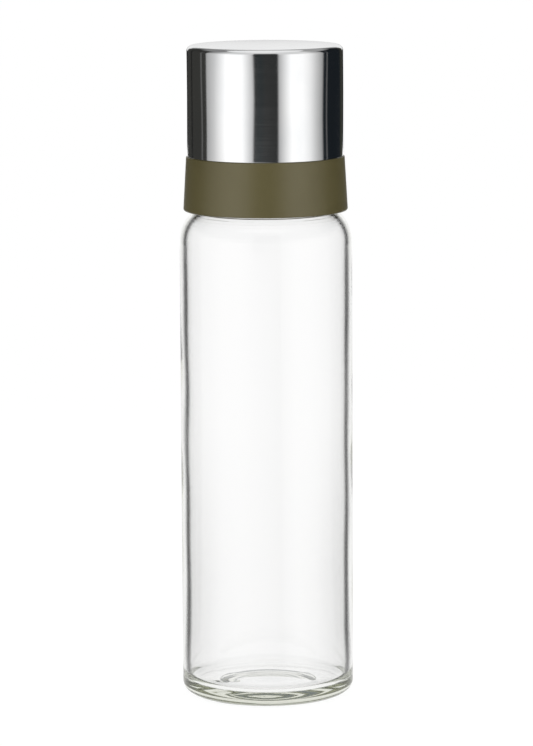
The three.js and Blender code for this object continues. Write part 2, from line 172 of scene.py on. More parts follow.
# Cap
SHELL_WALL = 0.6
CAP_ROUND = 1.7
DOME_RISE = 0.4
HEM_WIDTH = 1.2
HEM_ROUND = 0.2
RIM_DROP = 0.08
LINER_WALL = 1.7
LINER_ROOF = 1.8
LINER_ROUND = CAP_ROUND - SHELL_WALL - FIT_GAP
GRIP_BAND_HEIGHT = 7.5
BOSS_WALL = 2.0
BOSS_DEPTH = 6.0
STEM_SOCKET_DEPTH = 5.2
STEM_RADIUS = 2.6
SPOUT_HEADROOM = 2.6
STOPPER_NOSE_INSET = 1.0
BOSS_FILLET = 3 * EDGE_ROUND
ROOF_FILLET = 4 * EDGE_ROUND
LINER_MOUTH_ROUND = 2 * EDGE_ROUND

# Waves of the drawn steel, in the same order as those of the glass wall
SHELL_WAVES = [(0.03, 5, 0.17, 0.8), (0.016, 9, -0.13, 2.0)]

# Heights and radii that follow from these
SHOULDER_CENTRE = Vector((BODY_RADIUS - SHOULDER_RADIUS, BODY_HEIGHT))
BORE_RADIUS = NECK_RADIUS - NECK_WALL
FLANGE_Z = PLUG_BOTTOM_Z + PLUG_DEPTH
FLANGE_TOP_Z = FLANGE_Z + FLANGE_THICKNESS
TRAY_RIM_Z = PLINTH_TOP_Z - TRAY_DEPTH
TRAY_FOOT_Z = TRAY_RIM_Z - TRAY_FALL
SOCKET_RADIUS = SPOUT_RADIUS + FIT_GAP
HUB_RADIUS = SOCKET_RADIUS + HUB_WALL
HUB_BOTTOM_Z = TRAY_FOOT_Z - HUB_DEPTH
SPOUT_FLANGE_RADIUS = SPOUT_RADIUS + SPOUT_FLANGE_WIDTH
SPOUT_SEAT_RADIUS = SPOUT_FLANGE_RADIUS + FIT_GAP
LINER_ROOF_Z = LINER_TOP_Z - LINER_ROOF
SPOUT_TOP_Z = LINER_ROOF_Z - SPOUT_HEADROOM
FLARE_Z = SPOUT_TOP_Z - FLARE_HEIGHT
WAIST_RADIUS = SPOUT_RADIUS - SPOUT_TAPER
SPOUT_BORE_RADIUS = SPOUT_RADIUS - SPOUT_WALL
WAIST_BORE_RADIUS = WAIST_RADIUS - SPOUT_WALL
SPOUT_LIP_RADIUS = WAIST_RADIUS + FLARE_WIDTH
BORE_FLARE_WIDTH = SPOUT_LIP_RADIUS - LIP_EDGE - WAIST_BORE_RADIUS
BOSS_BOTTOM_Z = LINER_ROOF_Z - BOSS_DEPTH
STEM_SOCKET_RADIUS = STEM_RADIUS + FIT_GAP
CAP_TOP_Z = CAP_CROWN_Z - DOME_RISE
HEEL_CENTRE = BODY_RADIUS - HEEL_WIDTH
FOOT_INNER = HEEL_CENTRE - FOOT_RING_WIDTH
CORNER_CENTRE = BODY_RADIUS - WALL_FOOT - FLOOR_CORNER_RADIUS
CORNER_Z = FLOOR_THICKNESS + FLOOR_CORNER_RADIUS
INNER_SHOULDER = SHOULDER_RADIUS - WALL_HIGH

# Mesh fineness
SEGMENTS = 192
SMALL_SEGMENTS = 96
ARC_STEP_DEG = 6.0
HOLD = 0.15
RUN_STEP = 6.0
SHARP_ANGLE = math.radians(35)
ARC_STEPS_MIN = 3
CROWN_STEPS = 24
FLARE_ROWS = 20
MOUTH_TRIES = 12
SHORTEST_RUN = 4 * HOLD
FILLET_SHARE = 0.45
TINY = 1e-6


def arc(r, z, radius, start, end):
    """Points along an arc in the (radius, height) plane, between two angles in degrees."""
    steps = max(ARC_STEPS_MIN, math.ceil(abs(end - start) / ARC_STEP_DEG))
    turns = [math.radians(start + (end - start) * i / steps) for i in range(steps + 1)]
    return [(r + radius * math.cos(t), z + radius * math.sin(t)) for t in turns]


def rounded(corners):
    """A closed outline from (radius, height, fillet) corners, each rounded by its fillet."""
    outline = []
    count = len(corners)
    for i, (r, z, fillet) in enumerate(corners):
        here = Vector((r, z))
        back = Vector(corners[i - 1][:2]) - here
        ahead = Vector(corners[(i + 1) % count][:2]) - here
        if fillet <= 0 or r == 0:
            outline.append((r, z))
            continue
        half = back.angle(ahead) / 2
        longest = FILLET_SHARE * min(back.length, ahead.length)
        reach = min(fillet / math.tan(half), longest)
        radius = reach * math.tan(half)
        bisector = (back.normalized() + ahead.normalized()).normalized()
        centre = here + bisector * (radius / math.sin(half))
        first = here + back.normalized() * reach - centre
        last = here + ahead.normalized() * reach - centre
        begin = math.degrees(math.atan2(first.y, first.x))
        sweep = math.degrees(math.atan2(first.x * last.y - first.y * last.x, first.dot(last)))
        outline += arc(centre.x, centre.y, radius, begin, begin + sweep)
    return outline


def held(profile, closed):
    """Adds points beside the ends of long straight runs, so that smooth shading stays true there."""
    points = []
    count = len(profile)
    for i in range(count if closed else count - 1):
        a = Vector(profile[i])
        b = Vector(profile[(i + 1) % count])
        points.append(tuple(a))
        run = (b - a).length
        if run < SHORTEST_RUN:
            continue
        steps = max(1, round(run / RUN_STEP))
        shares = [HOLD / run] + [k / steps for k in range(1, steps)] + [1 - HOLD / run]
        points += [tuple(a.lerp(b, share)) for share in shares]
    if not closed:
        points.append(tuple(profile[-1]))
    return points


def lathe(name, profile, segments=SEGMENTS, closed=False, shape_at=None):
    """Turns a counter-clockwise profile about Z. shape_at(r, z, angle) may move each point."""
    profile = held(profile, closed)
    vertices = []
    rings = []
    for r, z in profile:
        if r < TINY:
            rings.append([len(vertices)] * segments)
            vertices.append((0, 0, z * MM))
            continue
        rings.append(list(range(len(vertices), len(vertices) + segments)))
        for k in range(segments):
            angle = 2 * math.pi * k / segments
            out, up = shape_at(r, z, angle) if shape_at else (r, z)
            vertices.append((out * MM * math.cos(angle), out * MM * math.sin(angle), up * MM))
    faces = []
    pairs = list(zip(rings, rings[1:]))
    if closed:
        pairs.append((rings[-1], rings[0]))
    for low, high in pairs:
        for k in range(segments):
            m = (k + 1) % segments
            corners = dict.fromkeys((low[k], low[m], high[m], high[k]))
            if len(corners) > 2:
                faces.append(tuple(corners))
    return mesh_object(name, vertices, faces)


def mesh_object(name, vertices, faces):
    """A smooth mesh in the scene, from its vertices and faces."""
    mesh = bpy.data.meshes.new(name)
    mesh.from_pydata(vertices, [], faces)
    mesh.validate()
    obj = bpy.data.objects.new(name, mesh)
    bpy.context.collection.objects.link(obj)
    smooth(obj)
    return obj


def smooth(obj):
    """Shades a mesh smoothly, apart from its sharp edges."""
    obj.data.polygons.foreach_set("use_smooth", [True] * len(obj.data.polygons))
    obj.data.set_sharp_from_angle(angle=SHARP_ANGLE)


def place(obj, body, node, slot, *materials):
    """Puts a finished piece on its body, in place of its CAD node."""
    for material in materials:
        obj.data.materials.append(material)
    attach(obj, body)
    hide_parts(node)
    return obj


def flare_arc_radius(height, width):
    """Radius of an arc that starts upright and moves sideways by width over its height."""
    return (height**2 + width**2) / (2 * width)


def crown(rim_radius, rim_z, rise):
    """A low crown on the axis, from its rim to its centre."""
    radius = (rim_radius**2 + rise**2) / (2 * rise)
    turn = math.degrees(math.asin(rim_radius / radius))
    points = []
    for i in range(CROWN_STEPS + 1):
        angle = math.radians(90 - turn + turn * i / CROWN_STEPS)
        points.append((radius * math.cos(angle), rim_z + rise - radius + radius * math.sin(angle)))
    points[-1] = (0, rim_z + rise)
    return points


def neck_fillet(shoulder_radius, neck_radius, fillet):
    """Centre and angle of the fillet that joins the shoulder to the neck."""
    aside = neck_radius + fillet - SHOULDER_CENTRE.x
    up = math.sqrt((shoulder_radius + fillet) ** 2 - aside**2)
    centre = Vector((neck_radius + fillet, SHOULDER_CENTRE.y + up))
    return centre, math.degrees(math.atan2(up, aside))


def thread_rise(z, angle, start_z):
    """Height of a right-hand thread's ridge, as a share of its full height."""
    best = 0.0
    for whole in range(math.ceil(THREAD_TURNS) + 1):
        turns = angle / (2 * math.pi) + whole
        if turns > THREAD_TURNS:
            continue
        aside = abs(z - start_z - THREAD_PITCH * turns) / THREAD_HALF_WIDTH
        if aside >= 1:
            continue
        ends = min(turns, THREAD_TURNS - turns) / THREAD_RUN_OUT
        ridge = math.cos(aside * math.pi / 2) ** THREAD_SHARPNESS
        best = max(best, ridge * min(1.0, ends))
    return best


def clamped(value):
    """A value, kept between 0 and 1."""
    return min(1.0, max(0.0, value))


def ripple(waves, first, second):
    """Sum of slow waves over two measures."""
    return sum(
        size * math.sin(by_first * first + by_second * second + phase)
        for size, by_first, by_second, phase in waves
    )


class Nodes:
    """A small helper that adds nodes to a material or world and links them."""

    def __init__(self, owner):
        owner.use_nodes = True
        self.tree = owner.node_tree
        self.tree.nodes.clear()

    def add(self, kind, settings=None, **inputs):
        node = self.tree.nodes.new(kind)
        for key, value in (settings or {}).items():
            setattr(node, key, value)
        for key, value in inputs.items():
            self.feed(node.inputs[key.replace("_", " ")], value)
        return node

    def feed(self, target, value):
        if isinstance(value, bpy.types.NodeSocket):
            self.tree.links.new(value, target)
        else:
            target.default_value = value

    def math(self, operation, first, second=0.0):
        node = self.add("ShaderNodeMath", {"operation": operation})
        self.feed(node.inputs[0], first)
        self.feed(node.inputs[1], second)
        return node.outputs[0]

    def mix(self, factor, first, second):
        """Mixes two shaders."""
        node = self.add("ShaderNodeMixShader")
        self.feed(node.inputs[0], factor)
        self.feed(node.inputs[1], first)
        self.feed(node.inputs[2], second)
        return node.outputs[0]

    def ramp(self, factor, stops):
        """A colour ramp of (position, colour) stops."""
        node = self.add("ShaderNodeValToRGB", Fac=factor)
        elements = node.color_ramp.elements
        while len(elements) < len(stops):
            elements.new(0.5)
        for element, (position, colour) in zip(elements, stops):
            element.position = position
            element.color = colour
        return node.outputs["Color"]

    def grey_ramp(self, factor, stops):
        """A ramp of (position, value) stops."""
        return self.ramp(factor, [(position, grey(value)) for position, value in stops])

    def rise(self, value, start, end):
        """Goes from 0 to 1 between two values."""
        return self.add("ShaderNodeMapRange", Value=value, From_Min=start, From_Max=end).outputs["Result"]

    def point(self):
        """The shaded point, in the object's own metres."""
        return self.add("ShaderNodeTexCoord").outputs["Object"]

    def axes(self, vector):
        return self.add("ShaderNodeSeparateXYZ", Vector=vector).outputs

    def length(self, vector):
        return self.add("ShaderNodeVectorMath", {"operation": "LENGTH"}, Vector=vector).outputs["Value"]

    def attribute(self, name):
        return self.add("ShaderNodeAttribute", {"attribute_name": name}).outputs["Fac"]

    def noise(self, scale, detail, roughness=0.5):
        """Noise with a scale for each axis, in cells per metre."""
        mapped = self.add("ShaderNodeMapping", Vector=self.point(), Scale=scale).outputs["Vector"]
        inputs = {"Vector": mapped, "Scale": 1.0, "Detail": detail, "Roughness": roughness}
        return self.add("ShaderNodeTexNoise", **inputs).outputs["Fac"]

    def bump(self, height, distance, strength=1.0):
        node = self.add("ShaderNodeBump", Height=height, Distance=distance, Strength=strength)
        return node.outputs["Normal"]

    def diffuse(self, colour):
        return self.add("ShaderNodeBsdfDiffuse", Color=colour).outputs["BSDF"]

    def transparent(self, colour):
        return self.add("ShaderNodeBsdfTransparent", Color=colour).outputs["BSDF"]

    def glow(self, colour, strength=1.0):
        return self.add("ShaderNodeEmission", Color=colour, Strength=strength).outputs["Emission"]

    def background(self, colour, strength=1.0):
        return self.add("ShaderNodeBackground", Color=colour, Strength=strength).outputs["Background"]

    def surface(self, shader, volume=None):
        out = self.add("ShaderNodeOutputMaterial", Surface=shader)
        if volume is not None:
            self.feed(out.inputs["Volume"], volume)


def new_material(name):
    """A material without nodes, and the helper that adds them."""
    material = bpy.data.materials.new(name)
    return material, Nodes(material)


def srgb(red, green, blue):
    """A colour from 0 to 255 per channel, as the linear values that shaders take."""
    def linear(value):
        share = value / 255
        return share / 12.92 if share <= 0.04045 else ((share + 0.055) / 1.055) ** 2.4
    return (linear(red), linear(green), linear(blue), 1.0)


WHITE = (1.0, 1.0, 1.0, 1.0)


def grey(value):
    """A grey from 0 to 1, as the linear value that shaders take."""
    return (value, value, value, 1.0)


def level(value):
    """A grey from 0 to 255."""
    return srgb(value, value, value)


# Clear glass
GLASS_COLOUR = (0.9965, 0.996, 1.0, 1.0)
GLASS_IOR = 1.5
GLASS_TINT = (0.79, 0.80, 0.725, 1.0)
GLASS_TINT_DENSITY = 30.0
GLASS_SHADOW = (0.93, 0.95, 0.94, 1.0)
# Tone of the painted dark lines at the glass's inner wall
PAINTED_LINE_TONE = srgb(18, 19, 14)
GLASS_WAVE_SCALE = (45, 45, 12)
GLASS_WAVE_DEPTH = 0.0002
GLASS_WAVE_STRENGTH = 0.25

# Painted shade: share of a dark line mixed into the glass at the inner wall, by how far the ray is turned
# from it
EDGE_PAINTED_SHADE = [
    (0.16, 0.0),
    (0.187, 0.02),
    (0.206, 0.03),
    (0.219, 0.06),
    (0.226, 0.09),
    (0.233, 0.14),
    (0.24, 0.27),
    (0.247, 0.62),
    (0.255, 0.79),
    (0.262, 0.79),
    (0.27, 0.58),
    (0.278, 0.2),
    (0.286, 0.05),
    (0.295, 0.0),
]

# Painted shade of the same kind, darker towards the edges of the thicker lower wall, between two heights
# in metres
LOW_WALL_PAINTED_SHADE = [
    (0.0, 0.01),
    (0.05, 0.025),
    (0.096, 0.05),
    (0.123, 0.075),
    (0.155, 0.1),
    (0.192, 0.11),
    (0.22, 0.09),
    (0.24, 0.0),
]
LOW_WALL_START = 0.09
LOW_WALL_END = 0.04

# Where the painted dark line of the upper wall is darker, by height in metres, and by how much
UPPER_PAINTED_SHADE = [
    (0.1, 0.0),
    (0.12, 0.9),
    (0.135, 0.8),
    (0.143, 0.0),
]
UPPER_PAINTED_SHADE_GAIN = 0.22

# Share of light that passes the shoulder's outer edge unbent, which softens its contour
SHOULDER_FADE = [
    (0.66, 0.0),
    (0.74, 0.35),
    (0.85, 0.85),
]

# Gain of the shoulder's mark for light on its way out, and its power for light on its way in
SHOULDER_LEAVING = 8.0
SHOULDER_EASE = 4.0

# Polished steel
STEEL_TONES = (srgb(226, 227, 228), level(233))
STEEL_ROUGHNESS = (0.07, 0.12)
STEEL_LINES_SCALE = (25, 25, 5200)
STEEL_LINES_DEPTH = 0.000004
STEEL_HAZE_SCALE = (90, 90, 60)

# Values of noise between which tones and roughness change
CLOUD_RANGE = (0.3, 0.7)
GRAIN_RANGE = (0.25, 0.75)
GRAIN_DETAIL = 2.0


def painted_wall_shade(n, facing, leaving):
    """Share of painted shade at the inner wall: a dark line mixed in, which draws the dark lines along
    the sides.
    """
    height = n.axes(n.point())["Z"]
    upper = n.grey_ramp(height, UPPER_PAINTED_SHADE)
    gain = n.math("ADD", n.math("MULTIPLY", upper, UPPER_PAINTED_SHADE_GAIN), 1.0)
    line = n.math("MULTIPLY", n.grey_ramp(facing, EDGE_PAINTED_SHADE), gain)
    # Painted shade in the lower wall, which grows towards the bottom
    low = n.rise(height, LOW_WALL_START, LOW_WALL_END)
    low_wall_shade = n.math("MULTIPLY", n.grey_ramp(facing, LOW_WALL_PAINTED_SHADE), low)
    painted_shade = n.math("ADD", line, low_wall_shade)
    return n.math("MULTIPLY", n.math("MULTIPLY", painted_shade, leaving), n.attribute(LINING))


def shoulder_share(n, facing, leaving):
    """Share of light that passes the shoulder's outer edge unbent, on its way in or out."""
    shoulder = n.attribute(OUTER_SHOULDER)
    steep = n.math("MULTIPLY", leaving, n.math("GREATER_THAN", facing, SHOULDER_FADE[0][0]))
    near = n.math("MINIMUM", n.math("MULTIPLY", shoulder, SHOULDER_LEAVING), 1.0)
    way_out = n.math("MULTIPLY", steep, near)
    eased = n.math("POWER", shoulder, SHOULDER_EASE)
    way_in = n.math("MULTIPLY", n.grey_ramp(facing, SHOULDER_FADE), eased)
    return n.math("MAXIMUM", way_in, way_out)


def clear_glass():
    """Clear glass, with painted shade: dark lines mixed in near its critical angle, like those that heavy
    glass shows.
    """
    material, n = new_material("clear_glass")
    waves = n.noise(GLASS_WAVE_SCALE, detail=1.0)
    glass = n.add(
        "ShaderNodeBsdfPrincipled",
        Base_Color=GLASS_COLOUR,
        Roughness=0.0,
        IOR=GLASS_IOR,
        Transmission_Weight=1.0,
        Normal=n.bump(waves, GLASS_WAVE_DEPTH, GLASS_WAVE_STRENGTH),
    )
    facing = n.add("ShaderNodeLayerWeight", Blend=0.5).outputs["Facing"]
    leaving = n.add("ShaderNodeNewGeometry").outputs["Backfacing"]
    # Painted shade: the glass is mixed with a dark diffuse closure where the lines are drawn
    with_painted_lines = n.mix(painted_wall_shade(n, facing, leaving), glass.outputs["BSDF"], n.diffuse(PAINTED_LINE_TONE))
    body = n.mix(shoulder_share(n, facing, leaving), with_painted_lines, n.transparent(WHITE))
    shadow = n.add("ShaderNodeLightPath").outputs["Is Shadow Ray"]
    tint = n.add("ShaderNodeVolumeAbsorption", Color=GLASS_TINT, Density=GLASS_TINT_DENSITY)
    n.surface(n.mix(shadow, body, n.transparent(GLASS_SHADOW)), tint.outputs["Volume"])
    return material


def polished_steel():
    """Mirror-polished stainless steel with fine polishing lines round the cap."""
    material, n = new_material("polished_steel")
    lines = n.noise(STEEL_LINES_SCALE, detail=3.0, roughness=0.7)
    haze = n.noise(STEEL_HAZE_SCALE, detail=3.0)
    tangent = n.add("ShaderNodeTangent", {"direction_type": "RADIAL", "axis": "Z"})
    steel = n.add(
        "ShaderNodeBsdfPrincipled",
        Base_Color=n.ramp(haze, list(zip(CLOUD_RANGE, STEEL_TONES))),
        Metallic=1.0,
        Roughness=n.grey_ramp(lines, zip(CLOUD_RANGE, STEEL_ROUGHNESS)),
        Anisotropic=0.6,
        Anisotropic_Rotation=0.25,
        Tangent=tangent.outputs["Tangent"],
        Normal=n.bump(lines, STEEL_LINES_DEPTH),
    )
    n.surface(steel.outputs["BSDF"])
    return material


def moulded(name, tones, cloud, cloud_detail, grain, roughness, relief, relief_strength, **inputs):
    """A matte moulded material: a tone with soft clouds, and a fine grain in its sheen and relief."""
    material, n = new_material(name)
    clouds = n.noise((cloud, cloud, cloud), cloud_detail)
    grains = n.noise((grain, grain, grain), GRAIN_DETAIL)
    shader = n.add(
        "ShaderNodeBsdfPrincipled",
        Base_Color=n.ramp(clouds, list(zip(CLOUD_RANGE, tones))),
        Roughness=n.grey_ramp(grains, zip(GRAIN_RANGE, roughness)),
        Normal=n.bump(grains, relief, relief_strength),
        **inputs,
    )
    n.surface(shader.outputs["BSDF"])
    return material


def olive_plastic():
    """Matte moulded polypropylene in olive brown."""
    return moulded(
        "olive_plastic",
        tones=(srgb(86, 79, 46), srgb(91, 84, 51)),
        cloud=60,
        cloud_detail=4.0,
        grain=3200,
        roughness=(0.34, 0.42),
        relief=0.00003,
        relief_strength=0.4,
        IOR=1.55,
    )


def natural_plastic():
    """Uncoloured moulded polypropylene, milky and slightly translucent."""
    return moulded(
        "natural_plastic",
        tones=(srgb(226, 224, 216), srgb(234, 232, 226)),
        cloud=120,
        cloud_detail=3.0,
        grain=2400,
        roughness=(0.30, 0.40),
        relief=0.00002,
        relief_strength=0.4,
        IOR=1.49,
        Subsurface_Weight=0.35,
        Subsurface_Radius=(0.004, 0.0036, 0.003),
    )


def silicone():
    """Soft, milky silicone rubber."""
    return moulded(
        "silicone",
        tones=(srgb(205, 207, 203), srgb(216, 217, 213)),
        cloud=200,
        cloud_detail=3.0,
        grain=4000,
        roughness=(0.5, 0.62),
        relief=0.00002,
        relief_strength=0.3,
        IOR=1.41,
        Subsurface_Weight=0.5,
        Subsurface_Radius=(0.003, 0.003, 0.0028),
    )


def underside_rise(r, angle):
    """Rise of the dimple, and of the knurls on the foot ring."""
    aside = (Vector((r * math.cos(angle), r * math.sin(angle))) - DIMPLE_PLACE).length
    rise = DIMPLE_DEPTH * math.exp(-((aside / DIMPLE_REACH) ** 2))
    if r > FOOT_INNER:
        across = math.sin(math.pi * (r - FOOT_INNER) / FOOT_RING_WIDTH)
        rise += KNURL_DEPTH * across * ((1 + math.sin(KNURL_COUNT * angle)) / 2)
    return rise


def wall_at(z):
    """Thickness of the blown wall, which thins out towards the shoulder and again at the floor."""
    above = z - CORNER_Z
    share = above / (BODY_HEIGHT - CORNER_Z)
    thinning = math.exp(-((above / WALL_THINNING) ** 2))
    return WALL_LOW + (WALL_HIGH - WALL_LOW) * share - (WALL_LOW - WALL_FOOT) * thinning


def wall_wave(z, angle):
    """The blown wall's slow waves, which fade out at the floor and the shoulder."""
    fade = math.sin(math.pi * (z - CORNER_Z) / (BODY_HEIGHT - CORNER_Z))
    return fade * ripple(WALL_WAVES, angle, z)


def floor_wave(r, angle):
    """Slow waves in the floor of the bottle, which fade out at its corner."""
    waves = ripple(FLOOR_WAVES, r * math.cos(angle), r * math.sin(angle))
    return waves * (1 - (r / CORNER_CENTRE) ** 2)


def bottle_outside():
    """Outer half of the bottle's profile, from the middle of its base to its lip."""
    fillet, turn = neck_fillet(SHOULDER_RADIUS, NECK_RADIUS, NECK_FILLET)
    foot_rows = int(FOOT_RING_WIDTH / KNURL_STEP)
    heel = arc(0, HEEL_WIDTH, HEEL_WIDTH, -90, 0)
    thread_rows = int((LIP_Z - LIP_ROUND - fillet.y) / THREAD_STEP)
    return [
        *crown(FOOT_INNER, 0, PUSH_UP)[::-1],
        *[(FOOT_INNER + KNURL_STEP * i, 0) for i in range(1, foot_rows)],
        *[(HEEL_CENTRE + r, z * HEEL_HEIGHT / HEEL_WIDTH) for r, z in heel],
        (BODY_RADIUS, BODY_HEIGHT - SHOULDER_BLEND),
        *arc(*SHOULDER_CENTRE, SHOULDER_RADIUS, 0, turn),
        *arc(*fillet, NECK_FILLET, 180 + turn, 180)[1:],
        *[(NECK_RADIUS, fillet.y + THREAD_STEP * i) for i in range(1, thread_rows)],
        *arc(NECK_RADIUS - LIP_ROUND, LIP_Z - LIP_ROUND, LIP_ROUND, 0, 90),
    ]


def bottle_inside():
    """Inner half of the bottle's profile, from its lip to the middle of its floor."""
    fillet, turn = neck_fillet(INNER_SHOULDER, BORE_RADIUS, BORE_FILLET)
    rows = int((BODY_HEIGHT - CORNER_Z) / WALL_STEP)
    wall_z = [CORNER_Z + (BODY_HEIGHT - CORNER_Z) * i / rows for i in range(rows - 1, 0, -1)]
    return [
        *arc(BORE_RADIUS + LIP_ROUND, LIP_Z - LIP_ROUND, LIP_ROUND, 90, 180),
        *arc(*fillet, BORE_FILLET, 180, 180 + turn),
        *arc(*SHOULDER_CENTRE, INNER_SHOULDER, turn, 0)[1:],
        *[(BODY_RADIUS - wall_at(z), z) for z in wall_z],
        *arc(CORNER_CENTRE, CORNER_Z, FLOOR_CORNER_RADIUS, 0, -90),
        *crown(CORNER_CENTRE, FLOOR_THICKNESS, FLOOR_CROWN)[1:],
    ]


def bottle_shape(r, z, angle):
    """Adds the thread and the unevenness of the glass to a point of the profile."""
    if abs(r - NECK_RADIUS) < TINY:
        r += NECK_THREAD_HEIGHT * thread_rise(z, angle, THREAD_START_Z)
    elif z <= PUSH_UP and r < HEEL_CENTRE:
        z += underside_rise(r, angle)
    elif r < CORNER_CENTRE and PUSH_UP < z < CORNER_Z:
        z += floor_wave(r, angle)
    elif r < BODY_RADIUS - WALL_HIGH + HOLD and CORNER_Z < z < BODY_HEIGHT:
        r += wall_wave(z, angle)
    return r, z


def mark_glass(mesh, first_inside):
    """Marks the inner wall above the floor, and the outer wall from below the shoulder upwards."""
    lining = mesh.attributes.new(LINING, "FLOAT", "POINT")
    shoulder = mesh.attributes.new(OUTER_SHOULDER, "FLOAT", "POINT")
    for vertex in mesh.vertices:
        z = vertex.co.z / MM
        if vertex.index < first_inside:
            shoulder.data[vertex.index].value = clamped((z - BODY_HEIGHT) / SHOULDER_BLEND + 1)
        else:
            lining.data[vertex.index].value = clamped((z - FLOOR_THICKNESS) / FLOOR_CORNER_RADIUS)


def make_bottle():
    """The blown glass bottle."""
    outside = bottle_outside()
    glass = lathe("glass_bottle", outside + bottle_inside(), shape_at=bottle_shape)
    glass.data.set_sharp_from_angle(angle=math.pi)
    mark_glass(glass.data, len(held(outside, closed=False)) * SEGMENTS)
    return place(glass, "bottle", "bottle", "clear_glass", clear_glass())


def make_collar(material):
    """The tapered screw collar, with a lip that holds the pourer and a thread in its bore."""
    plinth_opening = PLINTH_RADIUS + FIT_GAP
    drop = COLLAR_BOTTOM_Z - SHOULDER_CENTRE.y
    mouth = SHOULDER_CENTRE.x + math.sqrt(SHOULDER_RADIUS**2 - drop**2) + SHOULDER_CLEARANCE
    flange_z = COLLAR_TOP_Z - COLLAR_FLANGE_THICKNESS
    lead_in_z = COLLAR_BOTTOM_Z + COLLAR_LEAD_IN
    rows = int((flange_z - lead_in_z) / THREAD_STEP)
    bore = [(COLLAR_BORE_RADIUS, flange_z - THREAD_STEP * i, 0) for i in range(1, rows)]
    profile = rounded([
        (COLLAR_BOTTOM_RADIUS, COLLAR_BOTTOM_Z, COLLAR_ROUND),
        (COLLAR_TOP_RADIUS, COLLAR_TOP_Z, COLLAR_TOP_ROUND),
        (plinth_opening, COLLAR_TOP_Z, EDGE_ROUND),
        (plinth_opening, flange_z, EDGE_ROUND),
        (COLLAR_BORE_RADIUS, flange_z, 0),
        *bore,
        (COLLAR_BORE_RADIUS, lead_in_z, 0),
        (mouth, COLLAR_BOTTOM_Z, 0),
    ])

    def shape_at(r, z, angle):
        if abs(r - COLLAR_BORE_RADIUS) < TINY:
            r -= COLLAR_THREAD_HEIGHT * thread_rise(z, angle, THREAD_START_Z + THREAD_PITCH / 2)
        return r, z

    collar = lathe("screw_collar", profile, closed=True, shape_at=shape_at)
    return place(collar, "collar", "collar", "olive_plastic", material)


def make_gasket(material):
    """The flat ring between the glass lip and the pourer."""
    inner = PLUG_RADIUS + PLUG_RIB_HEIGHT
    profile = rounded([
        (GASKET_RADIUS, GASKET_Z, EDGE_ROUND),
        (GASKET_RADIUS, GASKET_TOP_Z, EDGE_ROUND),
        (inner, GASKET_TOP_Z, EDGE_ROUND),
        (inner, GASKET_Z, EDGE_ROUND),
    ])
    gasket = lathe("flat_gasket", profile, closed=True)
    return place(gasket, "pourer", "neck_gasket", "silicone", material)


def return_slot():
    """The curved slot's solid, for cutting the tray."""
    radius = RETURN_SLOT_WIDTH / 2
    reach = SPOUT_SEAT_RADIUS + FIT_GAP + radius
    half = RETURN_SLOT_ANGLE / 2
    outline = arc(0, 0, reach + radius, 90 - half, 90 + half)
    for end, turn in ((90 + half, 1), (90 - half, -1)):
        x = reach * math.cos(math.radians(end))
        y = reach * math.sin(math.radians(end))
        start = end if turn > 0 else end + 180
        outline += arc(x, y, radius, start, start + 180)[1:]
        if turn > 0:
            outline += arc(0, 0, reach - radius, 90 + half, 90 - half)[1:]
    outline.pop()
    count = len(outline)
    vertices = [(x * MM, y * MM, z * MM) for z in (HUB_BOTTOM_Z, PLINTH_TOP_Z) for x, y in outline]
    faces = [tuple(range(count))[::-1], tuple(range(count, 2 * count))]
    faces += [(i, (i + 1) % count, count + (i + 1) % count, count + i) for i in range(count)]
    return mesh_object("slot_tool", vertices, faces)


def cut(obj, tool):
    """Takes one mesh out of another and drops the tool."""
    modifier = obj.modifiers.new("cut", "BOOLEAN")
    modifier.object = tool
    modifier.operation = "DIFFERENCE"
    modifier.solver = "EXACT"
    bpy.context.view_layer.update()
    evaluated = obj.evaluated_get(bpy.context.evaluated_depsgraph_get())
    mesh = bpy.data.meshes.new_from_object(evaluated)
    obj.modifiers.clear()
    obj.data = mesh
    bpy.data.objects.remove(tool)
    smooth(obj)


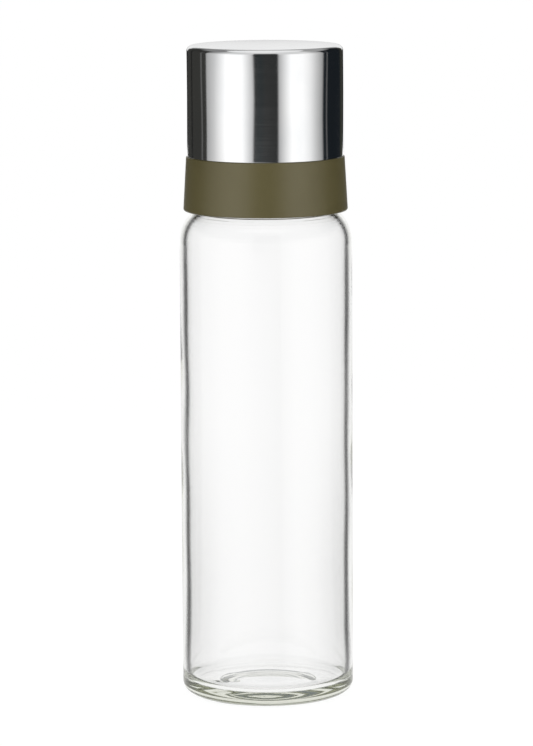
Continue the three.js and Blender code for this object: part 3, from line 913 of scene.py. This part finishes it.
def make_pourer(material):
    """The pourer: a ribbed plug, a flange, a plinth for the cap, and a drip tray with a slot."""
    plug_bore = PLUG_RADIUS - PLUG_WALL
    plinth_bore = PLINTH_RADIUS - PLINTH_WALL
    groove_foot = RING_CENTRE_RADIUS - RING_SECTION_RADIUS - SEAT_GAP
    groove_half = RING_SECTION_RADIUS + SEAT_GAP
    pitch = PLUG_DEPTH / (PLUG_RIB_COUNT + 1)
    ribs = []
    for i in range(1, PLUG_RIB_COUNT + 1):
        z = PLUG_BOTTOM_Z + i * pitch
        ribs.append((PLUG_RADIUS, z - PLUG_RIB_WIDTH / 2, EDGE_ROUND))
        ribs.append((PLUG_RADIUS + PLUG_RIB_HEIGHT, z, EDGE_ROUND))
        ribs.append((PLUG_RADIUS, z + PLUG_RIB_WIDTH / 2, EDGE_ROUND))
    profile = rounded([
        (plug_bore, PLUG_BOTTOM_Z, EDGE_ROUND),
        (PLUG_RADIUS - PLUG_RIB_HEIGHT, PLUG_BOTTOM_Z, EDGE_ROUND),
        *ribs,
        (PLUG_RADIUS, FLANGE_Z, EDGE_ROUND),
        (FLANGE_RADIUS, FLANGE_Z, EDGE_ROUND),
        (FLANGE_RADIUS, FLANGE_TOP_Z, EDGE_ROUND),
        (PLINTH_RADIUS, FLANGE_TOP_Z, EDGE_ROUND),
        (PLINTH_RADIUS, RING_Z - groove_half, EDGE_ROUND),
        (groove_foot, RING_Z - groove_half, EDGE_ROUND),
        (groove_foot, RING_Z + groove_half, EDGE_ROUND),
        (PLINTH_RADIUS, RING_Z + groove_half, EDGE_ROUND),
        (PLINTH_RADIUS, PLINTH_TOP_Z, PLINTH_ROUND),
        (plinth_bore, PLINTH_TOP_Z, PLINTH_ROUND),
        (plinth_bore, TRAY_RIM_Z, TRAY_FILLET),
        (SPOUT_SEAT_RADIUS, TRAY_FOOT_Z, EDGE_ROUND),
        (SOCKET_RADIUS, TRAY_FOOT_Z, EDGE_ROUND),
        (SOCKET_RADIUS, HUB_BOTTOM_Z, EDGE_ROUND),
        (HUB_RADIUS, HUB_BOTTOM_Z, EDGE_ROUND),
        (HUB_RADIUS, TRAY_FOOT_Z - TRAY_THICKNESS, EDGE_ROUND),
        (plug_bore, TRAY_RIM_Z - TRAY_THICKNESS, EDGE_ROUND),
    ])
    pourer = lathe("pourer_insert", profile, segments=SMALL_SEGMENTS, closed=True)
    cut(pourer, return_slot())
    return place(pourer, "pourer", "pourer_body", "natural_plastic", material)


def make_grip_ring(material):
    """The ring in the plinth's groove that holds the cap."""
    profile = arc(RING_CENTRE_RADIUS, RING_Z, RING_SECTION_RADIUS, 0, 360)[:-1]
    ring = lathe("grip_ring", profile, closed=True)
    return place(ring, "pourer", "cap_grip_ring", "silicone", material)


def make_spout(material):
    """The spout. Its flare ends at a slanted plane, so its top rows are set at each angle."""
    seat_z = TRAY_FOOT_Z + SEAT_GAP
    flange_top_z = seat_z + SPOUT_FLANGE_THICKNESS
    barb_top_z = SPOUT_BOTTOM_Z + SPOUT_BARB_HEIGHT
    outer_arc = flare_arc_radius(FLARE_HEIGHT, FLARE_WIDTH)
    bore_arc = flare_arc_radius(FLARE_HEIGHT, BORE_FLARE_WIDTH)
    slope = MOUTH_DROP / (2 * SPOUT_LIP_RADIUS)
    middle_z = SPOUT_TOP_Z - MOUTH_TRIM - MOUTH_DROP / 2

    def outer_radius(z):
        return WAIST_RADIUS + outer_arc - math.sqrt(outer_arc**2 - (z - FLARE_Z) ** 2)

    def bore_radius(z):
        return WAIST_BORE_RADIUS + bore_arc - math.sqrt(bore_arc**2 - (z - FLARE_Z) ** 2)

    def mouth_z(angle, radius_of):
        """Height where the flare meets the slanted mouth, in the direction of an angle."""
        z = middle_z
        for _ in range(MOUTH_TRIES):
            z = min(SPOUT_TOP_Z, middle_z - slope * radius_of(z) * math.sin(angle))
        return z

    lower = rounded([
        (SPOUT_BORE_RADIUS, SPOUT_BOTTOM_Z, EDGE_ROUND),
        (SPOUT_RADIUS, SPOUT_BOTTOM_Z, EDGE_ROUND),
        (SPOUT_RADIUS + SPOUT_BARB, barb_top_z, EDGE_ROUND),
        (SPOUT_RADIUS, barb_top_z, 0),
        (SPOUT_RADIUS, seat_z, EDGE_ROUND),
        (SPOUT_FLANGE_RADIUS, seat_z, EDGE_ROUND),
        (SPOUT_FLANGE_RADIUS, flange_top_z, EDGE_ROUND),
        (SPOUT_RADIUS, flange_top_z, SPOUT_FLANGE_FILLET),
        (WAIST_RADIUS, FLARE_Z, 0),
    ])
    lower = held(lower, closed=False)
    vertices = []
    columns = []
    for k in range(SMALL_SEGMENTS):
        angle = 2 * math.pi * k / SMALL_SEGMENTS
        top_out = mouth_z(angle, outer_radius)
        top_in = mouth_z(angle, bore_radius)
        column = list(lower)
        for i in range(1, FLARE_ROWS + 1):
            z = FLARE_Z + (top_out - FLARE_Z) * i / FLARE_ROWS
            column.append((outer_radius(z), z))
        for i in range(FLARE_ROWS, -1, -1):
            z = FLARE_Z + (top_in - FLARE_Z) * i / FLARE_ROWS
            column.append((bore_radius(z), z))
        columns.append(range(len(vertices), len(vertices) + len(column)))
        vertices += [(r * MM * math.cos(angle), r * MM * math.sin(angle), z * MM) for r, z in column]
    faces = []
    for k, column in enumerate(columns):
        beside = columns[(k + 1) % SMALL_SEGMENTS]
        count = len(column)
        for i in range(count):
            m = (i + 1) % count
            faces.append((column[i], beside[i], beside[m], column[m]))
    spout = mesh_object("slanted_spout", vertices, faces)
    return place(spout, "pourer", "pour_spout", "natural_plastic", material)


def make_shell(material):
    """The deep-drawn steel cap with a turned-in rim."""
    inner = CAP_RADIUS - SHELL_WALL
    roof_z = CAP_TOP_Z - SHELL_WALL
    inner_round = CAP_ROUND - SHELL_WALL
    flat = CAP_RADIUS - CAP_ROUND
    hem = CAP_RADIUS - HEM_WIDTH
    rim_z = CAP_RIM_Z - RIM_DROP
    profile = [
        *crown(flat, roof_z, DOME_RISE)[::-1],
        *arc(flat, roof_z - inner_round, inner_round, 90, 0)[1:],
        (inner, rim_z + SHELL_WALL),
        *arc(hem, rim_z + SHELL_WALL / 2, SHELL_WALL / 2, 90, 270),
        *arc(CAP_RADIUS - HEM_ROUND, rim_z + HEM_ROUND, HEM_ROUND, -90, 0),
        *arc(flat, CAP_TOP_Z - CAP_ROUND, CAP_ROUND, 0, 90),
        *crown(flat, CAP_TOP_Z, DOME_RISE)[1:],
    ]

    def shape_at(r, z, angle):
        """The drawn wall is slightly uneven, and its top is not."""
        return r + ripple(SHELL_WAVES, angle, z) * clamped((r - flat) / CAP_ROUND), z

    shell = lathe("steel_cap", profile, shape_at=shape_at)
    return place(shell, "cap", "cap_shell", "polished_steel", material)


def make_liner(material):
    """The plastic inner cap, with a boss that holds the plug."""
    band_radius = RING_OUTER_RADIUS + FIT_GAP
    skirt_radius = LINER_RADIUS - LINER_WALL
    band_top_z = LINER_BOTTOM_Z + GRIP_BAND_HEIGHT
    socket_roof_z = BOSS_BOTTOM_Z + STEM_SOCKET_DEPTH
    boss_radius = STEM_SOCKET_RADIUS + BOSS_WALL
    profile = rounded([
        (0, socket_roof_z, 0),
        (STEM_SOCKET_RADIUS, socket_roof_z, EDGE_ROUND),
        (STEM_SOCKET_RADIUS, BOSS_BOTTOM_Z, EDGE_ROUND),
        (boss_radius, BOSS_BOTTOM_Z, EDGE_ROUND),
        (boss_radius, LINER_ROOF_Z, BOSS_FILLET),
        (skirt_radius, LINER_ROOF_Z, ROOF_FILLET),
        (skirt_radius, band_top_z + skirt_radius - band_radius, EDGE_ROUND),
        (band_radius, band_top_z, EDGE_ROUND),
        (band_radius, LINER_BOTTOM_Z, LINER_MOUTH_ROUND),
        (LINER_RADIUS, LINER_BOTTOM_Z, EDGE_ROUND),
        (LINER_RADIUS, LINER_TOP_Z, LINER_ROUND),
        (0, LINER_TOP_Z, 0),
    ])
    liner = lathe("inner_cap", profile)
    return place(liner, "cap", "cap_liner", "olive_plastic", material)


def make_stopper(material):
    """The plug under the cap that closes the spout."""
    top_z = BOSS_BOTTOM_Z - SEAT_GAP
    bore_arc = flare_arc_radius(FLARE_HEIGHT, BORE_FLARE_WIDTH)
    stopper_arc = bore_arc + FIT_GAP
    turn = math.degrees(math.asin((top_z - FLARE_Z) / stopper_arc))
    flank = arc(WAIST_BORE_RADIUS + bore_arc, FLARE_Z, stopper_arc, 180, 180 - turn)
    nose_radius = WAIST_BORE_RADIUS - FIT_GAP - STOPPER_NOSE_INSET
    profile = [
        (0, STOPPER_BOTTOM_Z),
        (nose_radius, STOPPER_BOTTOM_Z),
        *flank,
        (STEM_RADIUS, top_z),
        (STEM_RADIUS, STOPPER_TOP_Z),
        (0, STOPPER_TOP_Z),
    ]
    stopper = lathe("spout_stopper", profile, segments=SMALL_SEGMENTS)
    return place(stopper, "cap", "spout_plug", "silicone", material)


# Studio, with lengths in metres and angles in degrees
CAMERA_LENS = 197.5
SENSOR_WIDTH = 36.0
CAMERA_REACH = 50.0
CAMERA_PLACE = (0.0, -1.2729, 0.2921)
CAMERA_PITCH = -8.5
CAMERA_ROLL = -0.304
LIGHT_BOUNCES = 256
FLOOR_SIZE = 12.0
FLOOR_DROP = -0.0003
FLOOR_PAPER = grey(0.88)
FLOOR_SHADE_SHARE = 0.16
FILL_STRENGTH = 0.42
BOWL_INNER = 0.03
BOWL_FLOOR = 0.001
BOWL_RADIUS = 0.9
BOWL_TOP = 0.62
BOWL_CEILING = 0.92
BOWL_HOLE = 0.42
BOWL_STEPS = 180
SOFTBOX_STRENGTH = 1.3
PAPER = grey(1.0 / SOFTBOX_STRENGTH)
LEFT_FLAG = srgb(50, 50, 48)
LEFT_SHADE = level(20)
RIGHT_FLAG = srgb(22, 26, 30)
RIGHT_EDGE = srgb(52, 52, 46)
FRONT_FLAG = srgb(42, 43, 43)
FRONT_SHADE = srgb(33, 39, 41)
SLIT = grey(0.22)
GROUND_NEAR = 0.04
GROUND_FAR = 0.11
GROUND_START = 0.02
GROUND_TOP = 0.06
GROUND_PALE = 137
GROUND_FADE = 6
GROUND_FRONT = 18
GROUND_PAPER = grey(0.8 / SOFTBOX_STRENGTH)
LIFT_START = 0.34
LIFT_END = 0.66
CEILING_START = 0.7
CEILING_END = 0.78
REAR_RADIUS = 0.88
REAR_HALF_ANGLE = 23
REAR_BOTTOM = 0.09
REAR_TOP = 0.5
REAR_STEPS = 24

# Lamps: name, place, width, height and watts
LAMP_TARGET = Vector((0, 0, 0.11))
LAMPS = [
    ("left_lamp", (-0.6, -0.75, 0.4), 0.5, 0.8, 3.0),
    ("right_lamp", (0.6, -0.75, 0.4), 0.5, 0.8, 3.0),
    ("top_lamp", (0, 0.1, 1.1), 0.7, 0.7, 2.5),
]

# Glow of the floor by distance from the object in metres, so that it stays white where less light falls
FLOOR_GLOW = [
    (0.6, 0.904),
    (1.0, 0.919),
    (1.4, 0.926),
    (2.0, 0.93),
    (3.7, 0.935),
    (6.0, 0.936),
]

# Tones of the room by degrees above the horizon, as the glass shows it
ROOM_BAND = srgb(126, 133, 136)
ROOM_TONES = [
    (16, WHITE),
    (26, ROOM_BAND),
    (50, ROOM_BAND),
    (57, WHITE),
]

# Tones of the rear card by height in metres
REAR_TONES = [
    (0.185, level(46)),
    (0.195, grey(0.74)),
    (0.33, grey(0.95)),
    (0.5, grey(0.95)),
]

# Tones of the cards by angle from the camera's side, right positive
CARD_TONES = [
    (-160, PAPER),
    (-159, LEFT_FLAG),
    (-140, LEFT_FLAG),
    (-136, LEFT_SHADE),
    (-132, LEFT_FLAG),
    (-107.4, LEFT_FLAG),
    (-106.2, SLIT),
    (-105, LEFT_FLAG),
    (-96, LEFT_FLAG),
    (-94.3, grey(0.35)),
    (-80, grey(0.54)),
    (-59, grey(1.0)),
    (-33.5, grey(0.99)),
    (-17.3, grey(0.45)),
    (-16.4, FRONT_FLAG),
    (-6.5, FRONT_SHADE),
    (0, FRONT_FLAG),
    (18.8, FRONT_FLAG),
    (20, grey(0.39)),
    (39, grey(1.0)),
    (57.5, grey(0.95)),
    (68, grey(0.8)),
    (80, grey(0.52)),
    (92, grey(0.29)),
    (95, RIGHT_FLAG),
    (101, RIGHT_FLAG),
    (102.2, SLIT),
    (103.4, RIGHT_FLAG),
    (140, RIGHT_FLAG),
    (152, RIGHT_EDGE),
    (159, RIGHT_EDGE),
    (160, PAPER),
]

# The card on the ground is like these, but paler in front of the object and behind it
GROUND_TONES = [
    (-180, GROUND_PAPER),
    (-GROUND_PALE, GROUND_PAPER),
    (GROUND_FADE - GROUND_PALE, LEFT_FLAG),
    *[stop for stop in CARD_TONES if GROUND_FRONT < abs(stop[0]) < GROUND_PALE - GROUND_FADE],
    (GROUND_PALE - GROUND_FADE, RIGHT_FLAG),
    (GROUND_PALE, GROUND_PAPER),
    (180, GROUND_PAPER),
]

# Tones above the cards, where the flags still stand, and of the ceiling over them
RIM_TONES = [
    (-160, level(139)),
    (-150, LEFT_FLAG),
    (-97, LEFT_FLAG),
    (-94, level(132)),
    (-71, level(205)),
    (-60, level(229)),
    (-18, level(225)),
    (-16, level(88)),
    (19, level(88)),
    (21, level(225)),
    (68, level(232)),
    (80, level(190)),
    (92, level(160)),
    (96, RIGHT_FLAG),
    (150, RIGHT_FLAG),
    (160, level(139)),
]
CEILING_TONES = [
    (-180, level(190)),
    (-150, level(139)),
    (-90, level(139)),
    (-71, level(205)),
    (-60, level(229)),
    (74, level(232)),
    (90, level(167)),
    (150, level(167)),
    (180, level(190)),
]


def make_camera():
    """The camera of the photo, as fitted to its outlines."""
    data = bpy.data.cameras.new("camera")
    data.sensor_width = SENSOR_WIDTH
    data.sensor_fit = "AUTO"
    data.lens = CAMERA_LENS
    data.clip_end = CAMERA_REACH
    camera = bpy.data.objects.new("camera", data)
    bpy.context.collection.objects.link(camera)
    tilt = Matrix.Rotation(math.radians(90 + CAMERA_PITCH), 4, "X")
    roll = Matrix.Rotation(math.radians(CAMERA_ROLL), 4, "Z")
    camera.matrix_world = Matrix.Translation(CAMERA_PLACE) @ tilt @ roll
    bpy.context.scene.camera = camera


def seen_directly(n):
    """1 for rays from the camera, from gloss and through glass, and 0 for diffuse light."""
    path = n.add("ShaderNodeLightPath").outputs
    glossy = n.math("MAXIMUM", path["Is Camera Ray"], path["Is Glossy Ray"])
    return n.math("MAXIMUM", glossy, path["Is Transmission Ray"])


def make_world():
    """White to the eye, with a grey band as seen through the glass, and a soft fill for diffuse light."""
    world = bpy.data.worlds.new("studio")
    bpy.context.scene.world = world
    n = Nodes(world)
    direction = n.add("ShaderNodeTexCoord").outputs["Generated"]
    tones = [(math.sin(math.radians(degrees)), tone) for degrees, tone in ROOM_TONES]
    room = n.background(n.ramp(n.axes(direction)["Z"], tones))
    through = n.add("ShaderNodeLightPath").outputs["Is Transmission Ray"]
    shown = n.mix(through, n.background(WHITE), room)
    fill = n.background(WHITE, FILL_STRENGTH)
    n.add("ShaderNodeOutputWorld", Surface=n.mix(seen_directly(n), fill, shown))


def make_floor():
    """White paper with a faint shadow, which gloss and glass see as plain white."""
    half = FLOOR_SIZE / 2
    sides = [(-half, -half), (half, -half), (half, half), (-half, half)]
    floor = mesh_object("floor", [(x, y, FLOOR_DROP) for x, y in sides], [(0, 1, 2, 3)])
    material, n = new_material("floor")
    away = n.math("DIVIDE", n.length(n.point()), FLOOR_SIZE)
    glow = n.glow(n.grey_ramp(away, [(distance / FLOOR_SIZE, tone) for distance, tone in FLOOR_GLOW]))
    shaded = n.add("ShaderNodeAddShader")
    n.feed(shaded.inputs[0], n.diffuse(grey(FLOOR_SHADE_SHARE)))
    n.feed(shaded.inputs[1], glow)
    path = n.add("ShaderNodeLightPath").outputs
    clean = n.math("MAXIMUM", path["Is Glossy Ray"], path["Is Transmission Ray"])
    bounced = n.mix(clean, n.diffuse(FLOOR_PAPER), n.glow(WHITE))
    n.surface(n.mix(path["Is Camera Ray"], bounced, shaded.outputs["Shader"]))
    floor.data.materials.append(material)


def make_studio():
    """A bowl of cards round the object, seen only in reflections: two softboxes between dark flags."""
    profile = [
        (BOWL_INNER, BOWL_FLOOR),
        (BOWL_RADIUS, BOWL_FLOOR),
        (BOWL_RADIUS, BOWL_TOP),
        (BOWL_HOLE, BOWL_CEILING),
    ]
    rows = len(profile)
    vertices = []
    faces = []
    for i in range(BOWL_STEPS):
        angle = 2 * math.pi * i / BOWL_STEPS
        vertices += [(r * math.sin(angle), -r * math.cos(angle), z) for r, z in profile]
        here = i * rows
        beside = (i + 1) % BOWL_STEPS * rows
        for k in range(rows - 1):
            faces.append((here + k, here + k + 1, beside + k + 1, beside + k))
    bowl = mesh_object("studio_cards", vertices, faces)
    bowl.data.materials.append(card_material())
    only_in_gloss(bowl)


def make_rear_card():
    """A card behind the object, dark at the height that the cap's edges reflect and paler above."""
    vertices = []
    for i in range(REAR_STEPS + 1):
        angle = math.radians(180 + REAR_HALF_ANGLE * (2 * i / REAR_STEPS - 1))
        x = REAR_RADIUS * math.sin(angle)
        y = -REAR_RADIUS * math.cos(angle)
        vertices += [(x, y, REAR_BOTTOM), (x, y, REAR_TOP)]
    faces = [(2 * i, 2 * i + 2, 2 * i + 3, 2 * i + 1) for i in range(REAR_STEPS)]
    card = mesh_object("rear_card", vertices, faces)
    material, n = new_material("rear_card")
    n.surface(n.glow(n.ramp(n.axes(n.point())["Z"], REAR_TONES)))
    card.data.materials.append(material)
    only_in_gloss(card)


def only_in_gloss(card):
    """Hides a card from everything but reflections."""
    card.visible_camera = False
    card.visible_diffuse = False
    card.visible_transmission = False
    card.visible_shadow = False


def card_material():
    """Light that changes with the angle round the object, with a card on the ground and a rim above."""
    material, n = new_material("studio_cards")
    point = n.point()
    axes = n.axes(point)
    height = axes["Z"]
    angle = n.math("ARCTAN2", axes["X"], n.math("MULTIPLY", axes["Y"], -1.0))
    turn = n.math("ADD", n.math("DIVIDE", angle, 2 * math.pi), 0.5)

    def light(tones, strength=1.0):
        stops = [((degrees + 180) / 360, tone) for degrees, tone in tones]
        return n.glow(n.ramp(turn, stops), strength)

    outwards = n.rise(n.length(point), GROUND_NEAR, GROUND_FAR)
    ground = n.mix(outwards, n.glow(WHITE), light(GROUND_TONES, SOFTBOX_STRENGTH))
    cards = light(CARD_TONES, SOFTBOX_STRENGTH)
    low = n.mix(n.rise(height, GROUND_START, GROUND_TOP), ground, cards)
    overhead = n.rise(height, CEILING_START, CEILING_END)
    high = n.mix(overhead, light(RIM_TONES), light(CEILING_TONES))
    n.surface(n.mix(n.rise(height, LIFT_START, LIFT_END), low, high))
    return material


def make_lamp(name, place_at, width, height, watts):
    """A soft lamp that points at the object and shows in no gloss or glass."""
    data = bpy.data.lights.new(name, "AREA")
    data.shape = "RECTANGLE"
    data.size = width
    data.size_y = height
    data.energy = watts
    lamp = bpy.data.objects.new(name, data)
    bpy.context.collection.objects.link(lamp)
    lamp.location = place_at
    lamp.rotation_euler = (LAMP_TARGET - Vector(place_at)).to_track_quat("-Z", "Y").to_euler()
    lamp.visible_glossy = False
    lamp.visible_transmission = False


bpy.context.scene.view_settings.view_transform = "Standard"
bpy.context.scene.cycles.max_bounces = LIGHT_BOUNCES
bpy.context.scene.cycles.transmission_bounces = LIGHT_BOUNCES
bpy.context.scene.cycles.glossy_bounces = LIGHT_BOUNCES
make_camera()
make_world()
make_floor()
make_studio()
make_rear_card()
for lamp in LAMPS:
    make_lamp(*lamp)

OLIVE = olive_plastic()
NATURAL = natural_plastic()
SILICONE = silicone()
STEEL = polished_steel()

make_bottle()
make_collar(OLIVE)
make_gasket(SILICONE)
make_pourer(NATURAL)
make_grip_ring(SILICONE)
make_spout(NATURAL)
make_shell(STEEL)
make_liner(OLIVE)
make_stopper(SILICONE)
